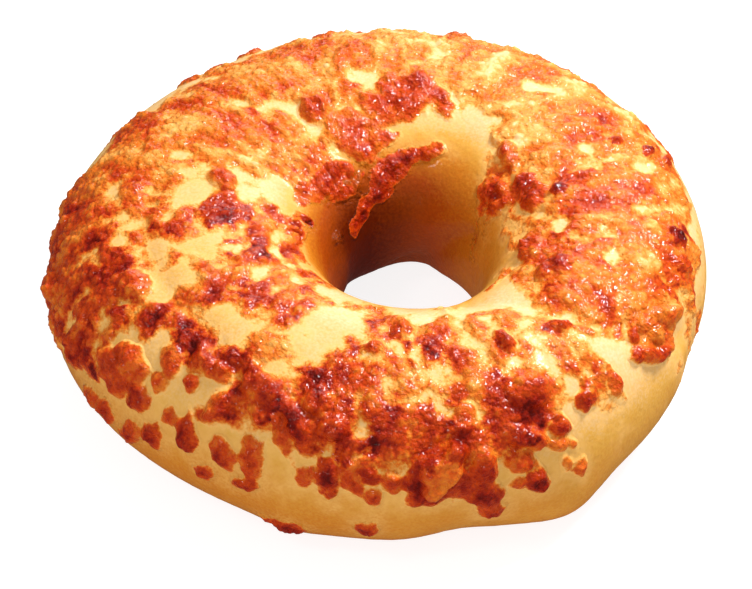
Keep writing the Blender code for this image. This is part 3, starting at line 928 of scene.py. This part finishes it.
class CrustMaterial:
    """The material of dough and cheese, led by the attributes of the mesh."""

    def __init__(self, finish: CrustFinish) -> None:
        """Make the empty material and the noise that its parts share."""
        self.finish = finish
        self.material = bpy.data.materials.new("baked_dough_and_cheese")
        self.material.use_nodes = True
        self.nodes = Nodes(self.material)
        self.fine = self.nodes.grain(finish.fine_grain, 3.0)
        self.coarse = self.nodes.grain(finish.coarse_grain, 3.0)
        self.wide = self.nodes.grain(finish.wide_grain, 2.0)

    def cheese_bake_and_shade(self) -> tuple[bpy.types.NodeSocket, bpy.types.NodeSocket]:
        """Work out how brown the cheese is, painted shade and light included, and how near it is.

        Returns:
            The bake with its painted shade and light, which is 0 where there is no cheese, and the
            distance inside the nearest cheese in millimetres.
        """
        nodes, finish, fine, coarse = self.nodes, self.finish, self.fine, self.coarse
        stray = nodes.math("ADD", nodes.waver(fine, 0.3, 0.25), nodes.waver(coarse, 0.3, 0.5))
        uneven = nodes.math("ADD", nodes.waver(coarse, 0.25, 0.07), nodes.waver(fine, 0.2, 0.03))
        sheet_inside = nodes.math("ADD", nodes.attribute("sheet_inside"), stray)
        # Both bakes carry painted shade and light as well as the browning.
        sheet_bake_and_shade = nodes.math("ADD", nodes.attribute("sheet_bake_and_shade"), uneven)
        sheet = nodes.math("MULTIPLY", nodes.rise(sheet_inside, *finish.sheet_edge), sheet_bake_and_shade)
        slight = nodes.math("MULTIPLY", stray, 0.3)
        blob_inside = nodes.math("ADD", nodes.attribute("blob_inside"), slight)
        blob_bake_and_shade = nodes.math("ADD", nodes.attribute("blob_bake_and_shade"), uneven)
        rim = nodes.rise(blob_inside, *finish.blob_rim)
        core = nodes.rise(blob_inside, *finish.blob_core)
        blob = nodes.math("MULTIPLY", nodes.math("MULTIPLY", rim, core), blob_bake_and_shade)
        near = nodes.math("ADD", nodes.math("MAXIMUM", sheet_inside, blob_inside), stray)
        return nodes.math("MAXIMUM", sheet, blob), near

    def colour(
        self, browned: bpy.types.NodeSocket, near: bpy.types.NodeSocket
    ) -> bpy.types.NodeSocket:
        """Return the colour of dough, of the fat round the cheese and of the cheese."""
        nodes, finish = self.nodes, self.finish
        # The dough's tanning carries painted shade: in the hole, on the left crown and low on the
        # side.
        tan = nodes.math("ADD", nodes.attribute("tan"), nodes.waver(self.wide, 0.2, 0.015))
        tan = nodes.math("ADD", tan, nodes.waver(self.fine, 0.2, 0.03))
        halo = nodes.rise(near, *finish.halo)
        halo = nodes.math("MULTIPLY", halo, nodes.rise(tan, *finish.halo_loss))
        dough = nodes.blend(halo, nodes.ramp(tan, finish.dough_tan_and_shade_stops), finish.fat)
        start = nodes.math("SUBTRACT", browned, nodes.rise(tan, *finish.late_start))
        cheese = nodes.ramp(browned, finish.cheese_stops)
        return nodes.blend(nodes.rise(start, *finish.cheese_start), dough, cheese)

    def ruffled(
        self, size: float, detail: float, mask: bpy.types.NodeSocket
    ) -> bpy.types.NodeSocket:
        """Return noise about 0 that is full where the mask is 1."""
        centred = self.nodes.math("SUBTRACT", self.nodes.grain(size, detail), 0.5)
        return self.nodes.math("MULTIPLY", centred, mask)

    def build(self) -> bpy.types.Material:
        """Link colour, gloss and bumps to the material's shader.

        Returns:
            The material.
        """
        nodes, finish, inputs = self.nodes, self.finish, self.nodes.shader.inputs
        # The bake here carries painted shade and light as well as the browning.
        browned, near = self.cheese_bake_and_shade()
        nodes.link(self.colour(browned, near), inputs["Base Color"])
        gloss = nodes.rise(self.coarse, *finish.roughness)
        gloss = nodes.math("ADD", gloss, nodes.rise(browned, *finish.roughness_change))
        nodes.link(gloss, inputs["Roughness"])
        mask = nodes.rise(browned, *finish.relief_mask)
        skin = nodes.bump(nodes.grain(finish.skin_grain, 4.0), 0.5, finish.skin_depth)
        rough = self.ruffled(finish.skin_grain, 3.0, mask)
        nodes.link(nodes.bump(rough, 1.0, finish.crust_depth, skin), inputs["Normal"])
        wet = self.ruffled(finish.wet_grain, 1.5, mask)
        nodes.link(nodes.bump(wet, 1.0, finish.wet_depth), inputs["Coat Normal"])
        nodes.link(nodes.rise(browned, *finish.coat), inputs["Coat Weight"])
        inputs["Coat Roughness"].default_value = finish.coat_roughness
        inputs["Specular IOR Level"].default_value = finish.specular
        return self.material


def deselect_all() -> None:
    """Deselect every object."""
    bpy.ops.object.select_all(action="DESELECT")


def make_active(piece: bpy.types.Object) -> None:
    """Select one piece alone and make it the active object."""
    deselect_all()
    piece.select_set(True)
    bpy.context.view_layer.objects.active = piece


def vertex_places(mesh: bpy.types.Mesh) -> Field:
    """Return a mesh's vertices in millimetres, one row each."""
    places = np.empty(3 * len(mesh.vertices))
    mesh.vertices.foreach_get("co", places)
    return places.reshape(-1, 3) / MM


def move_vertices(mesh: bpy.types.Mesh, points: Field) -> None:
    """Move a mesh's vertices to places given in millimetres."""
    mesh.vertices.foreach_set("co", (points * MM).ravel())
    mesh.update()


def write_attribute(mesh: bpy.types.Mesh, name: str, values: Field) -> None:
    """Write one number for each vertex under a name."""
    layer = mesh.attributes.new(name, "FLOAT", "POINT")
    layer.data.foreach_set("value", values.astype(np.float32))


@dataclass(frozen=True)
class CrustRelief:
    """The roughness on the dough: how far each kind stands out and the size of its lumps."""

    sheet_edge: tuple[float, float] = (-0.7, 1.5)
    blob_edge: tuple[float, float] = (-0.7, 0.6)
    sheet_rise: float = 0.75
    granule_rise: float = 0.40
    granule_level: float = 0.45
    granule_size: float = 1.9
    shred_rise: float = 0.65
    shred_size: float = 2.6
    shred_reach: float = 40.0
    shred_stretch: float = 0.35
    crumb_rise: float = 0.24
    crumb_size: float = 1.05
    grit_rise: float = 0.10
    grit_size: float = 0.8
    wave_rise: float = 0.05
    wave_size: float = 6.0
    pore_rise: float = 0.05
    pore_size: float = 1.6

    def shreds(self, around: Field, down: Field) -> Field:
        """Return the ridges of cheese shreds that run down the side, -1 to 1."""
        onward = np.radians(around) * self.shred_reach
        unrolled = np.stack([onward, down * self.shred_stretch, np.zeros_like(down)], axis=-1)
        return grain(unrolled, self.shred_size, Pattern.SHREDS)


@dataclass(frozen=True)
class Oven:
    """How dark the cheese and the bare dough baked, and the painted shade and light on them, by
    side of the ring and distance down.
    """

    mottle_share: float = 0.20
    mottle_size: float = 3.0
    wide_mottle_share: float = 0.24
    wide_mottle_size: float = 7.0
    # Darker in crevices, paler on tops: part own tone, part painted shade and highlight.
    crevice_tone_and_shade_share: float = 0.16
    shred_tone_and_shade_share: float = 0.16
    crumb_tone_and_shade_share: float = 0.09
    blob_mottle: float = 0.35
    # The blobs' crevices darker: part own tone, part painted shade.
    blob_crevice_tone_and_shade: float = 0.06
    # Painted shade on the cheese towards the shaded left front, painted light towards the lit right
    # back.
    shaded_side_around: float = 232.0
    side_shade_share: float = 0.17
    side_shade_level: float = 0.36
    dough_tan: float = 0.14
    dough_drift: float = 0.02
    dough_drift_size: float = 14.0
    # Painted shade on the dough's left crown.
    left_around: float = 215.0
    left_crown_shade: float = 0.11
    left_start: tuple[float, float] = (-9.0, 0.0)
    # Darker into the hole, most on its far wall and its right wall: partly baking, partly painted
    # shade.
    hole_start: tuple[float, float] = (10.0, 28.0)
    hole_tan_and_shade: float = 0.14
    far_around: float = 140.0
    far_wall_tan_and_shade: float = 0.66
    far_power: float = 1.3
    right_around: float = 35.0
    right_wall_tan_and_shade: float = 0.22
    right_start: tuple[float, float] = (5.0, 19.0)
    # Painted shade down the lower side and near the base.
    lower_side_shade: float = 0.25
    side_start: tuple[float, float] = (16.0, 40.0)
    base_shade: float = 0.18
    base_start: tuple[float, float] = (40.0, 54.0)

    def mottle(self, points: Field) -> Field:
        """Return the uneven browning of the cheese."""
        fine = self.mottle_share * grain(points, self.mottle_size, Pattern.MOTTLE)
        wide = grain(points, self.wide_mottle_size, Pattern.WIDE_MOTTLE)
        return fine + self.wide_mottle_share * wide

    def side_shade_and_light(self, around: Field) -> Field:
        """Return painted shade on the cheese's shaded side and painted light on its lit side."""
        return self.side_shade_share * (towards(around, self.shaded_side_around) ** 2 - self.side_shade_level)

    def tan(self, around: Field, down: Field, points: Field) -> Field:
        """Return the bare dough's baking and painted shade, pale cream at 0 and deep brown at 1."""
        hole_depth = smoothstep(*self.hole_start, -down)
        far_side = towards(around, self.far_around)
        right_side = towards(around, self.right_around)
        left_side = towards(around, self.left_around)
        drift = grain(points, self.dough_drift_size, Pattern.DOUGH)
        tan = self.dough_tan + self.dough_drift * drift
        # Painted shade on the left crown.
        tan += self.left_crown_shade * left_side**2 * smoothstep(*self.left_start, down)
        # Darker into the hole and most on its far wall: partly baking, partly painted shade.
        tan += hole_depth * (self.hole_tan_and_shade + self.far_wall_tan_and_shade * far_side**self.far_power)
        # The hole's right wall darker: partly baking, partly painted shade.
        tan += self.right_wall_tan_and_shade * smoothstep(*self.right_start, -down) * right_side
        # Painted shade down the lower side and near the base.
        tan += self.lower_side_shade * smoothstep(*self.side_start, down)
        tan += self.base_shade * smoothstep(*self.base_start, down)
        return tan


@dataclass
class BagelSurface:
    """A dense torus bent to the bagel's form, from which the crust's pieces are made."""

    form: BagelForm
    cheese: CheeseMap
    rough: CrustRelief = CrustRelief()
    oven: Oven = Oven()
    ring_segments: int = 256
    tube_segments: int = 80
    cuts: int = 3
    base_share: float = 0.10
    base_tube: tuple[float, float] = (-150.0, -38.0)

    def dress(self, piece: bpy.types.Object, material: bpy.types.Material) -> None:
        """Give a piece its material."""
        piece.data.materials.append(material)

    def ring_radius(self) -> float:
        """Return the radius of the torus's ring, in millimetres."""
        return (max(self.form.outer_radii) + min(self.form.hole_radii)) / 2.0

    def add_torus(self, name: str) -> bpy.types.Object:
        """Add the torus that a piece starts from."""
        deselect_all()
        tube_radius = (max(self.form.outer_radii) - min(self.form.hole_radii)) / 2.0
        bpy.ops.mesh.primitive_torus_add(
            major_segments=self.ring_segments,
            minor_segments=self.tube_segments,
            major_radius=self.ring_radius() * MM,
            minor_radius=tube_radius * MM,
            location=(0.0, 0.0, 0.0),
        )
        torus = bpy.context.active_object
        torus.name = name
        torus.data.name = name
        bpy.ops.object.mode_set(mode="EDIT")
        bpy.ops.mesh.select_all(action="SELECT")
        bpy.ops.mesh.subdivide(number_cuts=self.cuts)
        bpy.ops.object.mode_set(mode="OBJECT")
        return torus

    def angles(self, torus: bpy.types.Object) -> tuple[Field, Field]:
        """Return each vertex's ring angle and tube angle, with the base's rows set wider apart."""
        places = vertex_places(torus.data)
        around = np.degrees(np.arctan2(places[:, 1], places[:, 0])) % 360.0
        outward = np.hypot(places[:, 0], places[:, 1]) - self.ring_radius()
        tube = np.degrees(np.arctan2(places[:, 2], outward))
        low, high = self.base_tube
        share = ((tube - high) % 360.0) / 360.0
        top_arc = 360.0 - (high - low)
        top_share = 1.0 - self.base_share
        onward = np.where(
            share < top_share,
            share / top_share * top_arc,
            top_arc + (share - top_share) / self.base_share * (high - low),
        )
        return around, (high + onward + 180.0) % 360.0 - 180.0

    def lay_crust(
        self,
        piece: bpy.types.Object,
        around: Field,
        tube: Field,
        domes: Callable[[Field, Field, Field], Field] | None = None,
    ) -> None:
        """Move a piece's vertices to the crust's surface and write what its material reads.

        Args:
            piece: The piece, with its vertices still on the torus.
            around: The ring angle of each vertex.
            tube: The tube angle of each vertex.
            domes: Gives the further rise of the browned blobs, left out for the plain crust.
        """
        points = self.form.points(around, tube)
        normals = self.form.normals(around, tube)
        down = self.form.down(tube)
        reach = np.hypot(points[:, 0], points[:, 1])
        cheese, rough, oven = self.cheese, self.rough, self.oven
        inside, lift, bake = cheese.read(Layer.MELTED, around, down, points)
        blob_inside, blob_lift, blob_bake_and_shade = cheese.read(Layer.BROWNED, around, down, points)
        lumps = granules(points, rough.granule_size, Pattern.LUMPS)
        crumbs = granules(points, rough.crumb_size, Pattern.CRUMBS)
        shreds = rough.shreds(around, down)
        cover = smoothstep(*rough.sheet_edge, inside)
        any_cover = np.maximum(cover, smoothstep(*rough.blob_edge, blob_inside))
        granular = rough.granule_rise * (lumps - rough.granule_level)
        relief = cover * (rough.sheet_rise * lift + granular + rough.shred_rise * shreds)
        gritty = rough.grit_rise * grain(points, rough.grit_size, Pattern.GRIT)
        relief += any_cover * (rough.crumb_rise * (crumbs - 0.5) + gritty)
        waves = rough.wave_rise * grain(points, rough.wave_size, Pattern.WAVES)
        relief += waves + rough.pore_rise * grain(points, rough.pore_size, Pattern.PORES)
        relief -= self.form.seam_depth(around, down, reach)
        if domes is not None:
            relief += domes(blob_inside, blob_lift, points)
        mottle = oven.mottle(points)
        # Darker in crevices, paler on tops: part own tone, part painted shade and highlight.
        crevice_tone_and_shade = 0.5 - lumps
        # The side term is painted shade and light.
        sheet_bake_and_shade = bake + oven.side_shade_and_light(around) + mottle + oven.crevice_tone_and_shade_share * crevice_tone_and_shade
        sheet_bake_and_shade += oven.crumb_tone_and_shade_share * (0.5 - crumbs) - oven.shred_tone_and_shade_share * shreds
        blob_bake_and_shade = blob_bake_and_shade + oven.blob_mottle * mottle + oven.blob_crevice_tone_and_shade * crevice_tone_and_shade
        write_attribute(piece.data, "sheet_inside", inside)
        write_attribute(piece.data, "sheet_bake_and_shade", sheet_bake_and_shade)
        write_attribute(piece.data, "blob_inside", blob_inside)
        write_attribute(piece.data, "blob_bake_and_shade", blob_bake_and_shade)
        write_attribute(piece.data, "tan", oven.tan(around, down, points))
        points = points + relief[:, None] * normals
        if domes is None:
            points[:, 2] = np.maximum(points[:, 2], 0.0)
        move_vertices(piece.data, points)


def thin_out(piece: bpy.types.Object, most_triangles: int) -> None:
    """Merge a piece's flattest faces until it has no more than `most_triangles`."""
    thinner = piece.modifiers.new("thin_out", "DECIMATE")
    thinner.ratio = min(1.0, most_triangles / (2 * len(piece.data.polygons)))
    bpy.ops.object.modifier_apply(modifier=thinner.name)


@dataclass
class CrustedRing(BagelSurface):
    """The whole bagel's surface: dough with its seams, and the thin melted cheese on it."""

    most_triangles: int = 198000

    def build(self) -> bpy.types.Object:
        """Build the ring's mesh with the attributes that its material reads.

        Returns:
            The finished object.
        """
        ring = self.add_torus("crusted_ring")
        around, tube = self.angles(ring)
        self.lay_crust(ring, around, tube)
        make_active(ring)
        thin_out(ring, self.most_triangles)
        ring.data.shade_smooth()
        return ring


@dataclass
class BrownedBlobs(BagelSurface):
    """The thick browned blobs and runs of cheese, each a raised island that ends in the crust."""

    search: float = 3.4
    border: float = 1.4
    foot: float = 0.8
    sink_slope: float = 0.55
    rind: float = 0.5
    rim: float = 1.1
    dome_power: float = 1.7
    dome_rise: float = 1.35
    dimple_rise: float = 0.75
    dimple_size: float = 2.2
    pimple_rise: float = 0.24
    pimple_size: float = 0.9
    sunk: float = 0.04
    most_triangles: int = 196000

    def build(self) -> bpy.types.Object:
        """Build the islands with the attributes that their material reads.

        Returns:
            The finished object.
        """
        blobs = self.add_torus("browned_blobs")
        around, tube = self.angles(blobs)
        points = self.form.points(around, tube)
        inside = self.cheese.plain_inside(around, self.form.down(tube), points)
        self.keep(blobs, inside > -self.search)
        around, tube = self.angles(blobs)
        points = self.form.points(around, tube)
        inside, _, _ = self.cheese.read(Layer.BROWNED, around, self.form.down(tube), points)
        self.keep(blobs, inside > -self.border)
        around, tube = self.angles(blobs)
        self.lay_crust(blobs, around, tube, self.domes)
        self.thicken(blobs)
        blobs.data.shade_smooth()
        return blobs

    def keep(self, blobs: bpy.types.Object, kept: Field) -> None:
        """Delete the vertices that aren't kept."""
        shell = bmesh.new()
        shell.from_mesh(blobs.data)
        shell.verts.ensure_lookup_table()
        lost = [shell.verts[index] for index in np.flatnonzero(~kept)]
        bmesh.ops.delete(shell, geom=lost, context="VERTS")
        while pinched := [vertex for vertex in shell.verts if not vertex.is_manifold]:
            bmesh.ops.delete(shell, geom=pinched, context="VERTS")
        shell.to_mesh(blobs.data)
        shell.free()

    def domes(self, inside: Field, lift: Field, points: Field) -> Field:
        """Return how far the blobs rise over the crust, below zero at their border."""
        onward = np.maximum(inside + self.foot, 0.0) / self.rim
        dome = 1.0 - np.exp(-(onward**self.dome_power))
        dimples = self.dimple_rise * grain(points, self.dimple_size, Pattern.DIMPLES)
        dimples += self.pimple_rise * grain(points, self.pimple_size, Pattern.PIMPLES)
        slope = self.sink_slope * np.maximum(-inside - self.foot, 0.0)
        return dome * (self.dome_rise * lift + dimples) - slope - self.sunk

    def thicken(self, blobs: bpy.types.Object) -> None:
        """Close the islands with a rind that reaches into the dough."""
        make_active(blobs)
        rind = blobs.modifiers.new("rind", "SOLIDIFY")
        rind.thickness = self.rind * MM
        rind.offset = -1.0
        bpy.ops.object.modifier_apply(modifier=rind.name)
        thin_out(blobs, self.most_triangles)


class Lamp(NamedTuple):
    """A soft square light: its place and side in millimetres and its power in watts."""

    name: str
    place: tuple[float, float, float]
    size: float
    power: float
    in_gloss: bool = True


@dataclass
class Studio:
    """The floor, the light and the camera."""

    elevation: float = 43.0
    distance: float = 693.0
    lens: float = 187.1
    aim_height: float = 9.45
    aim_right: float = -0.3
    aim_up: float = 1.95
    floor_size: float = 4000.0
    floor: FloorFinish = FloorFinish()
    daylight: float = 0.54
    glossy_daylight: float = 0.06
    lamps: tuple[Lamp, ...] = (
        Lamp("key", (350.0, 190.0, 600.0), 200.0, 6.9),
        Lamp("back_light", (100.0, 760.0, 320.0), 420.0, 1.5),
        Lamp("glint", (-330.0, -330.0, 620.0), 110.0, 0.6),
        Lamp("fill", (-260.0, -620.0, 520.0), 900.0, 1.7, in_gloss=False),
    )

    def back(self) -> Vector:
        """Return the direction from the bagel to the camera."""
        angle = math.radians(self.elevation)
        return Vector((0.0, -math.cos(angle), math.sin(angle)))

    def add_camera(self) -> bpy.types.Object:
        """Add the camera at the photograph's viewing angle."""
        deselect_all()
        back = self.back()
        up = Vector((0.0, back.z, -back.y))
        aim = Vector((self.aim_right, 0.0, self.aim_height)) + up * self.aim_up
        bpy.ops.object.camera_add(location=(aim + back * self.distance) * MM)
        camera = bpy.context.active_object
        camera.rotation_euler = back.to_track_quat("Z", "Y").to_euler()
        camera.data.lens = self.lens
        camera.data.sensor_width = 36.0
        camera.data.clip_start = 0.01
        bpy.context.scene.camera = camera
        return camera

    def add_floor(self) -> bpy.types.Object:
        """Add the plain floor."""
        deselect_all()
        bpy.ops.mesh.primitive_plane_add(size=self.floor_size * MM, location=(0.0, 0.0, 0.0))
        floor = bpy.context.active_object
        floor.name = "studio_floor"
        material = bpy.data.materials.new("studio_floor")
        material.use_nodes = True
        shader = material.node_tree.nodes["Principled BSDF"]
        shader.inputs["Base Color"].default_value = self.floor.colour
        shader.inputs["Roughness"].default_value = self.floor.roughness
        shader.inputs["Emission Color"].default_value = self.floor.light
        shader.inputs["Emission Strength"].default_value = self.floor.glow
        floor.data.materials.append(material)
        floor.visible_glossy = False
        return floor

    def add_light(self, lamp: Lamp) -> bpy.types.Object:
        """Add one soft square light that looks at the bagel.

        Args:
            lamp: Its name, place, size and power.

        Returns:
            The light.
        """
        deselect_all()
        bpy.ops.object.light_add(type="AREA", location=Vector(lamp.place) * MM)
        light = bpy.context.active_object
        light.name = lamp.name
        light.data.shape = "SQUARE"
        light.data.size = lamp.size * MM
        light.data.energy = lamp.power
        light.rotation_euler = Vector(lamp.place).to_track_quat("Z", "Y").to_euler()
        light.visible_glossy = lamp.in_gloss
        return light

    def build(self) -> None:
        """Add the floor, the lights, the sky and the camera."""
        self.add_floor()
        self.add_camera()
        for lamp in self.lamps:
            self.add_light(lamp)
        world = bpy.data.worlds.new("studio_air")
        world.use_nodes = True
        background = world.node_tree.nodes["Background"]
        background.inputs["Color"].default_value = (1.0, 1.0, 1.0, 1.0)
        path = world.node_tree.nodes.new("ShaderNodeLightPath")
        dim = world.node_tree.nodes.new("ShaderNodeMapRange")
        dim.inputs["To Min"].default_value = self.daylight
        dim.inputs["To Max"].default_value = self.glossy_daylight
        world.node_tree.links.new(path.outputs["Is Glossy Ray"], dim.inputs["Value"])
        world.node_tree.links.new(dim.outputs["Result"], background.inputs["Strength"])
        bpy.context.scene.world = world
        bpy.context.scene.view_settings.view_transform = "Standard"
        bpy.context.scene.view_settings.look = "None"


def main() -> None:
    """Build the bagel's pieces in order and place them on the frame."""
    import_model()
    form = BagelForm()
    cheese = CheeseMap()
    material = CrustMaterial(CrustFinish()).build()
    ring = CrustedRing(form, cheese)
    ring_piece = ring.build()
    ring.dress(ring_piece, material)
    log.info("crusted ring: %d faces", len(ring_piece.data.polygons))
    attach(ring_piece, "root")
    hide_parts("bagel")
    blobs = BrownedBlobs(form, cheese)
    blob_piece = blobs.build()
    blobs.dress(blob_piece, material)
    log.info("browned blobs: %d faces", len(blob_piece.data.polygons))
    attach(blob_piece, "root")
    Studio().build()
    log.info("studio built")


if __name__ == "__main__":
    logging.basicConfig(level=logging.INFO, format="%(name)s: %(message)s")
    main()
